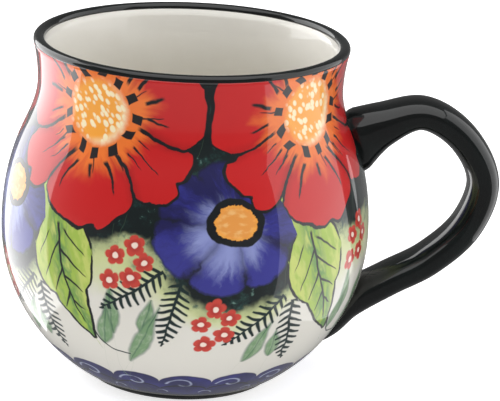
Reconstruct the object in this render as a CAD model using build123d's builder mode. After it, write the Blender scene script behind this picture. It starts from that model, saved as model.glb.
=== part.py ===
"""Bellied stoneware mug with a pulled strap handle.

Its pieces are the thrown clay pot, the turned foot ring, the glaze coats outside, inside and under the
base, the dipped lip, and the handle with the two joints where its ends are pressed on the bowl.

Millimetres, +Z up. The origin is on the table, on the bowl's axis, and the handle points along +X.
"""
import os
from math import asin, degrees, sqrt

from build123d import *

# Bowl, measured on its glazed outer surface.
mug_height = 87.0  # table to the top of the lip
belly_radius = 46.4  # at the widest point
belly_height = 38.5  # the widest point above the table
bowl_foot_radius = 27.4  # where the bowl meets its foot ring
shoulder_radius = 41.1
shoulder_below_rim = 23.0
neck_radius = 37.9  # at the narrowest point
neck_below_rim = 11.5
rim_radius = 39.1

# Walls from outer to inner surface, coats included.
belly_wall = 4.4
neck_wall = 3.5
lip_wall = 2.8
floor_thickness = 5.8
floor_cove = 9.0  # inside radius between floor and wall

# Glaze coats.
painted_coat = 0.4
lining_coat = 0.4
base_coat = 0.4
lip_band_height = 1.5  # dipped edge, down from the top of the lip

# Foot ring.
foot_height = 2.6
foot_step = 0.6  # the ring stands back this much from the bowl's clay
foot_taper = 2.4  # the ring narrows this much down to the table
foot_land = 3.0  # width of the face that stands on the table, edges included
foot_recess_draft = 0.4  # the recess widens this much down to the table
foot_edge = 0.6  # rounding of the two edges at the table

# Handle.
handle_reach = 32.6  # from the belly's widest point to the loop's outer face
handle_below_rim = 13.8  # from the top of the lip to the top of the loop
handle_thickness = 8.0
handle_width = 13.6
root_width = 15.0  # width of the clay where it is pressed on
upper_root_size = 20.5  # length of the upper joint along the bowl
upper_root_drop = 9.6  # middle of the upper joint below the loop's top
upper_flare = 24.0  # the strap swells to the upper joint over this length
lower_root_size = 11.0  # thickness of the tail along the bowl
lower_root_height = 9.5  # end of the tail above the table
lower_flare = 35.0  # the strap swells to the tail over this length
root_depth = 1.0  # how far inside the bowl's surface the two ends are drawn
joint_reach = 8.4  # where the joints end and the strap begins, outside the bowl's surface
section_spacing = 6.0  # between the strap's drawn sections

# What follows from those sizes.
lip_seat = mug_height - lip_band_height
shoulder_height = mug_height - shoulder_below_rim
neck_height = mug_height - neck_below_rim
inner_floor = foot_height + floor_thickness
bowl_depth = (belly_height - foot_height) / sqrt(1 - (bowl_foot_radius / belly_radius) ** 2)
foot_top_radius = bowl_foot_radius - painted_coat - foot_step
foot_radius = foot_top_radius - foot_taper
recess_radius = foot_radius - foot_land - foot_recess_draft
crest_height = mug_height - handle_below_rim - handle_thickness / 2
loop_reach = handle_reach - handle_thickness / 2
loop_drop = crest_height - lower_root_height


def outline(belly_inset, neck_inset, lip_inset, bottom):
    """The bowl's outline from a height up to the lip's seat, inset from the glazed surface."""
    start = degrees(asin((bottom - belly_height) / (bowl_depth - belly_inset)))
    belly = (belly_radius - belly_inset, belly_height)
    shoulder = (shoulder_radius - (belly_inset + neck_inset) / 2, shoulder_height)
    neck = (neck_radius - neck_inset, neck_height)
    with BuildLine() as line:
        EllipticalCenterArc(
            (0, belly_height), belly_radius - belly_inset, bowl_depth - belly_inset, start, arc_size=-start
        )
        Spline(belly, shoulder, neck, tangents=((0, 1), (0, 1)))
        TangentArc(neck, (rim_radius - lip_inset, lip_seat), tangent=(0, 1))
    return line.line


def half_section(belly_inset, neck_inset, lip_inset, bottom):
    """Half section of everything inside an outline, closed on the axis."""
    with BuildSketch() as face:
        with BuildLine() as edge:
            add(outline(belly_inset, neck_inset, lip_inset, bottom))
            low = edge.vertices().sort_by(Axis.Y)[0]
            high = edge.vertices().sort_by(Axis.Y)[-1]
            Polyline((low.X, low.Y), (0, low.Y), (0, high.Y), (high.X, high.Y))
        make_face()
    return face.sketch


def cavity_section(coat):
    """Half section of the hollow, drawn larger all round by the thickness of a coat."""
    floor = inner_floor - coat
    with BuildSketch() as face:
        add(half_section(belly_wall - coat, neck_wall - coat, lip_wall - coat, floor))
        corner = face.vertices().group_by(Axis.Y)[0].sort_by(Axis.X)[-1]
        fillet(corner, floor_cove + coat)
    return face.sketch


def turned(section):
    """Solid of revolution of a half section drawn in radius and height."""
    with BuildPart() as solid:
        with BuildSketch(Plane.XZ):
            add(section)
        revolve(axis=Axis.Z)
    return solid.part


glazed_outline = outline(0, 0, 0, foot_height)


def bowl_point(height, stand_off):
    """Point in the handle's plane at a height, a distance outside the bowl's glazed surface."""
    level = Axis((0, height, 0), (1, 0, 0))
    crossings = [point for edge in glazed_outline.edges() for point in edge.find_intersection_points(level)]
    return max(point.X for point in crossings) + stand_off, height


def loop_point(out, down):
    """Point of the handle's centre line, as shares of the loop's reach and of its drop."""
    return belly_radius + out * loop_reach, crest_height - down * loop_drop


glazed_blank = turned(half_section(0, 0, 0, foot_height))
clay_blank = turned(half_section(painted_coat, painted_coat, painted_coat, foot_height))
clay_cavity = turned(cavity_section(lining_coat))
lined_cavity = turned(cavity_section(0))

# Thrown pot: wall and floor.
with BuildPart() as clay_pot:
    add(clay_blank)
    add(clay_cavity, mode=Mode.SUBTRACT)

# Clear lining glaze over the white inside.
with BuildPart() as lining_glaze:
    add(clay_cavity)
    add(lined_cavity, mode=Mode.SUBTRACT)

# Dipped lip, fully rounded.
with BuildPart() as lip_band:
    inside = rim_radius - lip_wall
    middle = rim_radius - lip_wall / 2
    round_start = mug_height - lip_wall / 2
    with BuildSketch(Plane.XZ):
        with BuildLine():
            Line((inside, lip_seat), (rim_radius, lip_seat))
            Line((rim_radius, lip_seat), (rim_radius, round_start))
            ThreePointArc((rim_radius, round_start), (middle, mug_height), (inside, round_start))
            Line((inside, round_start), (inside, lip_seat))
        make_face()
    revolve(axis=Axis.Z)

# Foot ring, turned with a taper, rounded where it stands.
with BuildPart() as foot_ring:
    with BuildSketch(Plane.XZ) as ring:
        with BuildLine():
            Polyline(
                (recess_radius, foot_height),
                (foot_top_radius, foot_height),
                (foot_radius, 0),
                (foot_radius - foot_land, 0),
                close=True,
            )
        make_face()
        fillet(ring.vertices().group_by(Axis.Y)[0], foot_edge)
    revolve(axis=Axis.Z)

# Glazed base inside the foot ring.
with BuildPart() as base_glaze:
    with BuildSketch(Plane.XY.offset(foot_height)):
        Circle(recess_radius)
    extrude(amount=-base_coat)

# The handle's centre line, from inside the bowl at the upper joint, round the loop, to the end of the
# tail inside the bowl near its foot.
upper_end_height = crest_height - upper_root_drop
upper_end_radius = min(
    bowl_point(upper_end_height + upper_root_size / 2, -root_depth)[0],
    bowl_point(upper_end_height - upper_root_size / 2, -root_depth)[0],
)
upper_split_point = bowl_point(crest_height - upper_root_drop / 3, joint_reach)
lower_split_point = bowl_point(lower_root_height + 15.6, joint_reach)
with BuildLine(Plane.XZ):
    route = Spline(
        (upper_end_radius, upper_end_height),
        upper_split_point,
        loop_point(0.43, 0.00),
        loop_point(0.79, 0.10),
        loop_point(1.00, 0.29),
        loop_point(0.88, 0.49),
        loop_point(0.56, 0.645),
        lower_split_point,
        bowl_point(lower_root_height + 9.4, 0.6),
        bowl_point(lower_root_height + 4.2, -2.2),
        (bowl_foot_radius - root_depth, lower_root_height),
    )
route_length = route.length


def strap_plane(distance):
    """Plane square to the centre line at a distance from its upper end, x along the strap's width."""
    share = distance / route_length
    return Plane(origin=route @ share, x_dir=(0, 1, 0), z_dir=route % share)


def swollen(size, upper_size, lower_size, distance):
    """A size of the strap at a distance from its upper end, grown towards the sizes at its two ends."""
    near_upper = max(0, 1 - distance / upper_flare) ** 2
    near_lower = max(0, 1 - (route_length - distance) / lower_flare) ** 2
    return size + (upper_size - size) * near_upper + (lower_size - size) * near_lower


# Strap: one loft along the centre line, swelling smoothly to its two ends.
section_count = round(route_length / section_spacing)
with BuildPart() as strap:
    for number in range(section_count + 1):
        distance = route_length * number / section_count
        thickness = swollen(handle_thickness, upper_root_size, lower_root_size, distance)
        width = swollen(handle_width, root_width, root_width, distance)
        with BuildSketch(strap_plane(distance)):
            Ellipse(width / 2, thickness / 2)
    loft()

# Blocks that hold the strap's two ends, up to the planes where the joints begin.
block_size = 2 * upper_root_size
upper_split = route_length * route.param_at_point(Plane.XZ.from_local_coords(upper_split_point))
lower_split = route_length * route.param_at_point(Plane.XZ.from_local_coords(lower_split_point))
with BuildPart(strap_plane(upper_split)) as upper_block:
    Box(block_size, block_size, block_size, align=(Align.CENTER, Align.CENTER, Align.MAX))
with BuildPart(strap_plane(lower_split)) as lower_block:
    Box(block_size, block_size, block_size, align=(Align.CENTER, Align.CENTER, Align.MIN))

with BuildPart() as handle:
    add(strap)
    add(upper_block, mode=Mode.SUBTRACT)
    add(lower_block, mode=Mode.SUBTRACT)

# Pressed and smoothed clay at the two ends, down to the pot's own clay.
with BuildPart() as upper_handle_joint:
    add(strap)
    add(upper_block, mode=Mode.INTERSECT)
    add(clay_blank, mode=Mode.SUBTRACT)

with BuildPart() as lower_handle_joint:
    add(strap)
    add(lower_block, mode=Mode.INTERSECT)
    add(clay_blank, mode=Mode.SUBTRACT)

# Painted coat on the outside, open where the handle's joints reach the clay.
with BuildPart() as painted_glaze:
    add(glazed_blank)
    add(clay_blank, mode=Mode.SUBTRACT)
    add(upper_handle_joint, mode=Mode.SUBTRACT)
    add(lower_handle_joint, mode=Mode.SUBTRACT)

os.makedirs("parts", exist_ok=True)

clay_pot.part.label = "clay_pot"
export_step(clay_pot.part, "parts/clay_pot.step")

foot_ring.part.label = "foot_ring"
export_step(foot_ring.part, "parts/foot_ring.step")

painted_glaze.part.label = "painted_glaze"
export_step(painted_glaze.part, "parts/painted_glaze.step")

lining_glaze.part.label = "lining_glaze"
export_step(lining_glaze.part, "parts/lining_glaze.step")

base_glaze.part.label = "base_glaze"
export_step(base_glaze.part, "parts/base_glaze.step")

lip_band.part.label = "lip_band"
export_step(lip_band.part, "parts/lip_band.step")

handle.part.label = "handle"
export_step(handle.part, "parts/handle.step")

upper_handle_joint.part.label = "upper_handle_joint"
export_step(upper_handle_joint.part, "parts/upper_handle_joint.step")

lower_handle_joint.part.label = "lower_handle_joint"
export_step(lower_handle_joint.part, "parts/lower_handle_joint.step")
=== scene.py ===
"""Hand-painted, bellied stoneware mug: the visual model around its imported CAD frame.

The pot's own sizes are in millimetres and the meshes are turned into metres as they are finished.
+Z is up, the handle points along +X, and the painted pattern is laid out by angle round the bowl and by
distance up its curved side.
"""
import logging
import math
from dataclasses import dataclass, field
from enum import Enum
from typing import Optional, Sequence, Union

import bmesh
import bpy
from mathutils import Matrix, Vector
from mathutils.geometry import interpolate_bezier


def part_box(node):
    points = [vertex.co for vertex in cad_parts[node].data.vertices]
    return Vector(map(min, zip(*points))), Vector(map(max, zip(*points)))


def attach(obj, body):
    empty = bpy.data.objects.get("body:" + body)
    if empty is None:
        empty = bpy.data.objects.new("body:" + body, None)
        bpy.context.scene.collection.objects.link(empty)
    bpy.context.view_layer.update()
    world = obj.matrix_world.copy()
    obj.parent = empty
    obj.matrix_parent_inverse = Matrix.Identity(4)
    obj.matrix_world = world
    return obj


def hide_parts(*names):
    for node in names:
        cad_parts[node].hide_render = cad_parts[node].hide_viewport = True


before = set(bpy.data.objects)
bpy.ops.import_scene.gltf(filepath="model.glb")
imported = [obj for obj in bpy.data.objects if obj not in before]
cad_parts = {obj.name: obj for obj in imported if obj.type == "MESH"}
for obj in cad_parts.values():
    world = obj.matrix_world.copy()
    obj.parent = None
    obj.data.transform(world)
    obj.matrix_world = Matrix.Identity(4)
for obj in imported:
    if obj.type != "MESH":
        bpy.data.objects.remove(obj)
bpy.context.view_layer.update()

MM = 0.001
BODY = "root"
PAINT_UV = "paint"
BAKE_UV = "OFBake"
PAINT_UV_HEIGHT = 100.0  # millimetres up the side in one unit of the map
TAU = 2 * math.pi
# Sockets of the Mix node when it mixes colours.
MIX_SHARE, MIX_UNDER, MIX_OVER, MIX_RESULT = 0, 6, 7, 2

log = logging.getLogger("mug")


# Pigments and shader arithmetic


class Pigment(Enum):
    """Fired colours of the mug, as the eye sees them, from 0 to 255."""

    POPPY_RED = (203, 22, 24)
    POPPY_DEEP = (150, 10, 16)
    POPPY_ORANGE = (243, 122, 44)
    POLLEN = (252, 168, 58)
    POLLEN_PALE = (255, 240, 200)
    STAMEN = (30, 26, 28)
    INK = (18, 22, 26)
    BLUE_DEEP = (26, 24, 84)
    BLUE_PETAL = (50, 50, 146)
    BLUE_PALE = (150, 160, 215)
    EYE_ORANGE = (238, 158, 74)
    EYE_PALE = (246, 190, 118)
    LEAF_GREEN = (164, 192, 76)
    LEAF_SHADE = (84, 138, 74)
    LEAF_YELLOW = (204, 214, 112)
    GREY_LEAF = (122, 158, 114)
    FERN = (14, 42, 42)
    STALK_GREEN = (70, 108, 84)
    BLOSSOM = (206, 62, 48)
    BLOSSOM_DEEP = (164, 30, 26)
    BLOSSOM_PALE = (250, 226, 212)
    GROUND_DARK = (9, 26, 27)
    GROUND_TEAL = (34, 80, 75)
    GROUND_FLECK = (122, 158, 146)
    WASH_GREEN = (206, 214, 146)
    CREAM = (226, 223, 214)
    BAND_BLUE = (38, 38, 96)
    BAND_PALE = (176, 184, 214)
    LINING = (243, 240, 232)
    GREEN_BLACK = (8, 12, 12)
    FOOT_BLACK = (24, 27, 28)
    CLAY = (205, 194, 176)
    FLOOR = (250, 250, 250)

    @property
    def linear(self) -> tuple[float, float, float, float]:
        """The pigment as a linear colour with full alpha.

        Returns:
            Red, green, blue and alpha.
        """
        channels = (part / 255 for part in self.value)
        red, green, blue = (c / 12.92 if c <= 0.04045 else ((c + 0.055) / 1.055) ** 2.4 for c in channels)
        return red, green, blue, 1.0


Number = Union[float, "Value"]


class Value:
    """A number that varies over a surface, which combines with others by ordinary arithmetic."""

    def __init__(self, tree: bpy.types.NodeTree, socket: bpy.types.NodeSocket) -> None:
        """Wraps an output socket.

        Args:
            tree: The node tree that holds the socket.
            socket: The output socket that carries the number.
        """
        self.tree = tree
        self.socket = socket

    def feed(self, socket: bpy.types.NodeSocket) -> None:
        """Links this value to an input socket."""
        self.tree.links.new(self.socket, socket)

    def math(self, operation: str, *others: Number) -> "Value":
        """Applies one of the Math node's operations.

        Args:
            operation: The operation's name.
            *others: The operands after this one.

        Returns:
            The result.
        """
        node = self.tree.nodes.new("ShaderNodeMath")
        node.operation = operation
        for socket, operand in zip(node.inputs, (self, *others)):
            put(operand, socket)
        return Value(self.tree, node.outputs[0])

    def __add__(self, other: Number) -> "Value":
        """Sum."""
        return self.math("ADD", other)

    def __radd__(self, other: float) -> "Value":
        """Sum with a plain number on the left."""
        return self.math("ADD", other)

    def __sub__(self, other: Number) -> "Value":
        """Difference."""
        return self.math("SUBTRACT", other)

    def __rsub__(self, other: float) -> "Value":
        """Difference from a plain number."""
        return self.math("MULTIPLY_ADD", -1.0, other)

    def __mul__(self, other: Number) -> "Value":
        """Product."""
        return self.math("MULTIPLY", other)

    def __rmul__(self, other: float) -> "Value":
        """Product with a plain number on the left."""
        return self.math("MULTIPLY", other)

    def __truediv__(self, other: Number) -> "Value":
        """Quotient."""
        return self.math("DIVIDE", other)

    def __neg__(self) -> "Value":
        """The value with its sign changed."""
        return self.math("MULTIPLY", -1.0)

    def __abs__(self) -> "Value":
        """The value without its sign."""
        return self.math("ABSOLUTE")

    def low(self, other: Number) -> "Value":
        """The smaller of two."""
        return self.math("MINIMUM", other)

    def high(self, other: Number) -> "Value":
        """The larger of two."""
        return self.math("MAXIMUM", other)

    def power(self, exponent: float) -> "Value":
        """The value raised to a power."""
        return self.math("POWER", exponent)

    def fraction(self) -> "Value":
        """What is left above the next whole number down."""
        return self.math("FRACT")

    def sine(self) -> "Value":
        """Sine of an angle in radians."""
        return self.math("SINE")

    def rise(self, start: Number, end: Number, bottom: float = 0.0, top: float = 1.0) -> "Value":
        """A smooth step.

        Args:
            start: Where the step begins.
            end: Where the step ends. It may be below start, and then the step falls.
            bottom: The result at the start.
            top: The result at the end.

        Returns:
            The eased value.
        """
        node = self.tree.nodes.new("ShaderNodeMapRange")
        node.interpolation_type = "SMOOTHSTEP"
        for socket, operand in zip(node.inputs, (self, start, end, bottom, top)):
            put(operand, socket)
        return Value(self.tree, node.outputs[0])

    def line(self, width: Number, soft: float = 0.14) -> "Value":
        """One inside a drawn line and nought outside it, where this value is the distance from its middle.

        Args:
            width: The line's width.
            soft: How far its edge fades.

        Returns:
            The line's mask.
        """
        half = width * 0.5
        return abs(self).rise(half + soft, half - soft)


def put(operand: Number, socket: bpy.types.NodeSocket) -> None:
    """Sets an input socket to a plain number or links a value to it.

    Args:
        operand: The number or value.
        socket: The input socket.
    """
    if isinstance(operand, Value):
        operand.feed(socket)
    else:
        socket.default_value = operand


def hypotenuse(across: Value, along: Value) -> Value:
    """Distance from the origin of two coordinates."""
    return (across * across + along * along).math("SQRT")


class Colour:
    """A flat pigment or a colour that varies over a surface, which masks paint over."""

    def __init__(self, tree: bpy.types.NodeTree, socket: Union[bpy.types.NodeSocket, Pigment]) -> None:
        """Wraps a colour.

        Args:
            tree: The node tree.
            socket: The output socket that carries the colour, or a flat pigment.
        """
        self.tree = tree
        self.socket = socket

    def put(self, socket: bpy.types.NodeSocket) -> None:
        """Sets or links this colour to an input socket."""
        if isinstance(self.socket, Pigment):
            socket.default_value = self.socket.linear
        else:
            self.tree.links.new(self.socket, socket)

    def over(self, mask: Value, paint: Union[Pigment, "Colour"]) -> "Colour":
        """Paints over this colour.

        Args:
            mask: Nought where this colour stays and one where the paint covers it.
            paint: What is painted.

        Returns:
            The colour after painting.
        """
        node = self.tree.nodes.new("ShaderNodeMix")
        node.data_type = "RGBA"
        mask.feed(node.inputs[MIX_SHARE])
        self.put(node.inputs[MIX_UNDER])
        above = paint if isinstance(paint, Colour) else Colour(self.tree, paint)
        above.put(node.inputs[MIX_OVER])
        return Colour(self.tree, node.outputs[MIX_RESULT])


class Brushwork:
    """A node group under construction, with typed inputs and outputs."""

    def __init__(self, name: str, numbers: Sequence[str], colours: Sequence[str] = ()) -> None:
        """Opens an empty group.

        Args:
            name: The group's name.
            numbers: Names of its number inputs.
            colours: Names of its colour inputs.
        """
        self.tree = bpy.data.node_groups.new(name, "ShaderNodeTree")
        for kind, names in (("NodeSocketFloat", numbers), ("NodeSocketColor", colours)):
            for socket_name in names:
                self.tree.interface.new_socket(name=socket_name, in_out="INPUT", socket_type=kind)
        self.start = self.tree.nodes.new("NodeGroupInput")
        self.results: list[tuple[str, str, bpy.types.NodeSocket]] = []

    def number(self, name: str) -> Value:
        """One of the group's number inputs."""
        return Value(self.tree, self.start.outputs[name])

    def colour(self, name: str) -> Colour:
        """One of the group's colour inputs."""
        return Colour(self.tree, self.start.outputs[name])

    def flat(self, pigment: Pigment) -> Colour:
        """A plain pigment to paint on inside the group."""
        return Colour(self.tree, pigment)

    def give(self, name: str, result: Union[Value, Colour]) -> None:
        """Names one of the group's results."""
        kind = "NodeSocketColor" if isinstance(result, Colour) else "NodeSocketFloat"
        self.results.append((name, kind, result.socket))

    def close(self) -> bpy.types.NodeTree:
        """Makes the group's outputs and returns the finished group.

        Returns:
            The group.
        """
        end = self.tree.nodes.new("NodeGroupOutput")
        for name, kind, socket in self.results:
            self.tree.interface.new_socket(name=name, in_out="OUTPUT", socket_type=kind)
            self.tree.links.new(socket, end.inputs[name])
        return self.tree


def noise(tree: bpy.types.NodeTree, scale: Number, detail: float, roughness: float = 0.5,
          vector: Optional[bpy.types.NodeSocket] = None) -> Value:
    """A noise texture, from nought to one.

    Args:
        tree: The node tree.
        scale: Number of cells in each unit of its coordinates.
        detail: Number of octaves above the first.
        roughness: How strong the finer octaves are.
        vector: The coordinates to read, or None for Object coordinates.

    Returns:
        The noise.
    """
    node = tree.nodes.new("ShaderNodeTexNoise")
    for name, given in (("Scale", scale), ("Detail", detail), ("Roughness", roughness)):
        put(given, node.inputs[name])
    if vector is None:
        vector = tree.nodes.new("ShaderNodeTexCoord").outputs["Object"]
    tree.links.new(vector, node.inputs["Vector"])
    return Value(tree, node.outputs[0])


def split_vector(tree: bpy.types.NodeTree, vector: bpy.types.NodeSocket) -> tuple[Value, Value, Value]:
    """The three parts of a vector.

    Args:
        tree: The node tree.
        vector: The output socket that carries the vector.

    Returns:
        Its parts, in order.
    """
    node = tree.nodes.new("ShaderNodeSeparateXYZ")
    tree.links.new(vector, node.inputs[0])
    across, along, third = (Value(tree, socket) for socket in node.outputs)
    return across, along, third


def place_group(tree: bpy.types.NodeTree, group: bpy.types.NodeTree,
                values: dict[str, Union[float, Value, Colour]]) -> bpy.types.Node:
    """Puts a finished group in a tree and sets its inputs.

    Args:
        tree: The tree that gets the group.
        group: The group.
        values: What each named input gets.

    Returns:
        The group's node.
    """
    node = tree.nodes.new("ShaderNodeGroup")
    node.node_tree = group
    for name, given in values.items():
        if isinstance(given, Colour):
            given.put(node.inputs[name])
        else:
            put(given, node.inputs[name])
    return node


# Painted motifs. Each group takes millimetres across and along from the motif's middle and the colour
# underneath, and gives the colour with the motif painted over it.

class MotifGroup(Brushwork):
    """The node group of one motif, with the numbers that every motif is drawn from."""

    NUMBERS = ("Across", "Along", "Turn Of Bowl", "Grain")

    def __init__(self, name: str, *more: str) -> None:
        """Opens the group.

        Args:
            name: The group's name.
            *more: Names of further number inputs.
        """
        super().__init__(name, (*self.NUMBERS, *more), ("Under",))
        self.place = tuple(self.number(each) for each in self.NUMBERS)

    def vector(self, across: Number, along: Number, third: Number) -> bpy.types.NodeSocket:
        """A vector made of three numbers, for a texture in the motif's own plane.

        Args:
            across: Its first part.
            along: Its second part.
            third: Its third part.

        Returns:
            The vector's socket.
        """
        node = self.tree.nodes.new("ShaderNodeCombineXYZ")
        for socket, given in zip(node.inputs, (across, along, third)):
            put(given, socket)
        return node.outputs[0]

    def brush(self, scale: float, detail: float, vector: bpy.types.NodeSocket,
              roughness: float = 0.5) -> Value:
        """Brush marks: a noise texture in the motif's own plane."""
        return noise(self.tree, scale, detail, roughness, vector)

    def finish(self, painted: Colour) -> bpy.types.NodeTree:
        """Closes the group on the colour with the motif over it."""
        self.give("Colour", painted)
        return self.close()


@dataclass(frozen=True)
class Poppy:
    """A wide red flower with overlapping petals, a ring of dark stamens and a speckled heart."""

    radius: float = 28.6
    reach: float = 27.15
    petals: int = 7
    heart: float = 7.7
    stamen_ring: float = 10.0
    stamens: int = 13
    stroke_start: float = 12.2

    def build(self) -> bpy.types.NodeTree:
        """Builds the flower's node group.

        Returns:
            The group.
        """
        work = MotifGroup("poppy")
        x, y, turn, grain = work.place
        r = hypotenuse(x, y)
        angle = x.math("ARCTAN2", -y)
        step = angle * (self.petals / TAU) + 0.5 + grain * 0.03 + (turn * 2.1).sine() * 0.07
        bulge = ((r - 8.0) * (math.pi / (self.radius - 6.0))).sine() * 0.19
        step = step + (step * math.pi + math.pi / 2).sine() * bulge
        petal = step.math("FLOOR")
        part = step - petal
        swell = (part * math.pi).sine().high(0.0).power(0.55)
        lobes = (part * TAU * 2 + petal * 1.9 + 0.6).sine() * 0.5
        notch = (abs(part - 0.56) * 10.0).rise(1.0, 0.0) * 1.7
        edge = swell * (self.radius * 0.23) + (self.radius * 0.77 + lobes - notch + grain * 0.5)
        depth = (edge - hypotenuse(x * 0.95, y)).low(self.reach - abs(x))
        side = (0.5 - abs(part - 0.5)) * r * (TAU / self.petals)

        streaks = work.brush(1.0, 3.0, work.vector(step * 5.0, r * 0.08, turn))
        petals = work.flat(Pigment.POPPY_RED).over(side.rise(3.0, 0.0) * streaks, Pigment.POPPY_DEEP)
        petals = petals.over((r + (streaks - 0.5) * 14.0).rise(17.0, 10.2), Pigment.POPPY_ORANGE)
        result = work.colour("Under").over(depth.rise(-0.12, 0.14), petals)

        outline = (depth - 0.2).line(streaks * 0.8 + 0.45)
        between = side.line(streaks * 0.9 + 0.55) * r.rise(10.6, 12.2) * depth.rise(-0.3, 0.2)
        lane = part * 4.0 + 0.5
        stroke = lane.math("FLOOR")
        luck = (stroke * 2.3 + petal * 3.7).sine()
        gap = (lane - stroke - 0.5 + (r - 12.0) * luck * 0.008) * r * (TAU / self.petals / 4.0)
        reach = luck * 3.2 + 19.0
        strokes = gap.line((reach - r) * 0.06 + 0.3) * r.rise(self.stroke_start, self.stroke_start + 0.8)
        strokes = strokes * r.rise(reach + 0.6, reach - 0.6) * side.rise(1.0, 1.6)
        result = result.over(outline.high(between).high(strokes), Pigment.INK)

        middle = (r + grain * 1.2).rise(self.heart + 1.4, self.heart - 1.2)
        result = result.over(middle, self._heart(work, r))
        result = result.over(self._stamens(angle, r, turn), Pigment.STAMEN)
        return work.finish(result)

    def _heart(self, work: MotifGroup, r: Value) -> Colour:
        """The orange heart, stippled with pale drops.

        Args:
            work: The group under construction.
            r: Distance from the flower's middle.

        Returns:
            The heart's colour.
        """
        x, y, turn, _ = work.place
        drops = work.tree.nodes.new("ShaderNodeTexVoronoi")
        drops.inputs["Scale"].default_value = 1.0
        lean = work.vector(x * 0.62 + y * 0.2, y * 0.5, turn * 3.1)
        work.tree.links.new(lean, drops.inputs["Vector"])
        dots = Value(work.tree, drops.outputs["Distance"]).rise(0.5, 0.34) * 0.95
        heart = work.flat(Pigment.POLLEN).over(dots, Pigment.POLLEN_PALE)
        halo = (r + x * 0.3 - y * 0.15).rise(self.heart - 0.8, self.heart + 2.2, 0.0, 0.85)
        return heart.over(halo, Pigment.POLLEN_PALE)

    def _stamens(self, angle: Value, r: Value, turn: Value) -> Value:
        """The ring of dark square dabs, some with a long tail.

        Args:
            angle: Angle round the flower.
            r: Distance from its middle.
            turn: The number of the repeat.

        Returns:
            Their mask.
        """
        lane = angle * (self.stamens / TAU) + 0.2 + (turn * 1.3).sine() * 0.2
        spot = lane.math("FLOOR")
        jitter = (spot * 2.4).sine()
        across = (lane - spot - 0.5) * (TAU / self.stamens) * r + jitter * 0.35
        along = r - self.stamen_ring - jitter * 0.45
        lean = across + along * jitter * 0.5
        dab = abs(lean).high(abs(along) * 0.85).rise(1.16, 0.96)
        longest = jitter * 2.5 + 15.0
        tail = (across - along * 0.1).line((longest - r) * 0.05 + 0.18)
        tail = tail * r.rise(self.stamen_ring, self.stamen_ring + 0.6) * r.rise(longest, longest - 0.8)
        return dab.high(tail * jitter.rise(-0.35, -0.2))


@dataclass(frozen=True)
class BlueFlower:
    """A round violet-blue flower with a ringed orange eye."""

    radius: float = 18.4
    shift: tuple[float, float] = (1.6, 1.7)
    flatness: float = 1.15
    petals: int = 7
    eye: float = 5.2
    ring: float = 1.8
    eye_flatness: float = 1.22

    def build(self) -> bpy.types.NodeTree:
        """Builds the flower's node group.

        Returns:
            The group.
        """
        work = MotifGroup("blue_flower")
        x, y, turn, grain = work.place
        r = hypotenuse(x, y)
        angle = x.math("ARCTAN2", -y)
        step = (angle + grain * 0.12 + (turn * 1.7).sine() * 0.2) * (self.petals / TAU) + 30.0
        part = step.fraction()
        swell = (part * math.pi).sine().high(0.0).power(0.5)
        edge = swell * (self.radius * 0.15) + (self.radius * 0.85 + grain * 0.9)
        depth = edge - hypotenuse(x + self.shift[0], (y + self.shift[1]) * self.flatness)
        side = abs(part - 0.5) * 2.0

        streaks = work.brush(1.0, 4.0, work.vector(step * 4.6, r * 0.09, turn + 7.0), 0.62)
        petals = work.flat(Pigment.BLUE_PETAL)
        shade = streaks * 1.3 + side * side * side * 0.5 + y * 0.022
        petals = petals.over(shade.rise(0.42, 1.0), Pigment.BLUE_DEEP)
        low_left = (x * -0.5 - y * 0.8) / r
        pale = (r - streaks * 12.0 - low_left * 5.4).rise(4.8, -2.2) * (1.0 - side * side * 0.6)
        petals = petals.over(pale * 0.9, Pigment.BLUE_PALE)
        result = work.colour("Under").over(depth.rise(-0.5, 0.35), petals)
        crease = (1.0 - side).line(0.09, 0.05) * r.rise(11.0, 14.0) * depth.rise(0.0, 0.5)
        result = result.over(((depth - 0.1).line(0.45, 0.3) * 0.5).high(crease * 0.7), Pigment.INK)

        flat = hypotenuse(x, y * self.eye_flatness)
        rough = grain * 0.9 + (streaks - 0.5) * 1.6
        ring_edge = self.eye + self.ring
        result = result.over((flat + grain * 0.5).rise(ring_edge + 0.4, ring_edge), Pigment.INK)
        dabs = work.brush(0.42, 2.0, work.vector(x, y * 1.6, turn))
        eye = work.flat(Pigment.EYE_ORANGE).over(dabs.rise(0.46, 0.68), Pigment.EYE_PALE)
        eye = eye.over((flat + dabs * 4.0).rise(5.6, 7.6) * 0.8, Pigment.POLLEN)
        result = result.over((flat + rough).rise(self.eye + 0.1, self.eye - 0.2), eye)
        return work.finish(result)


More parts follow.
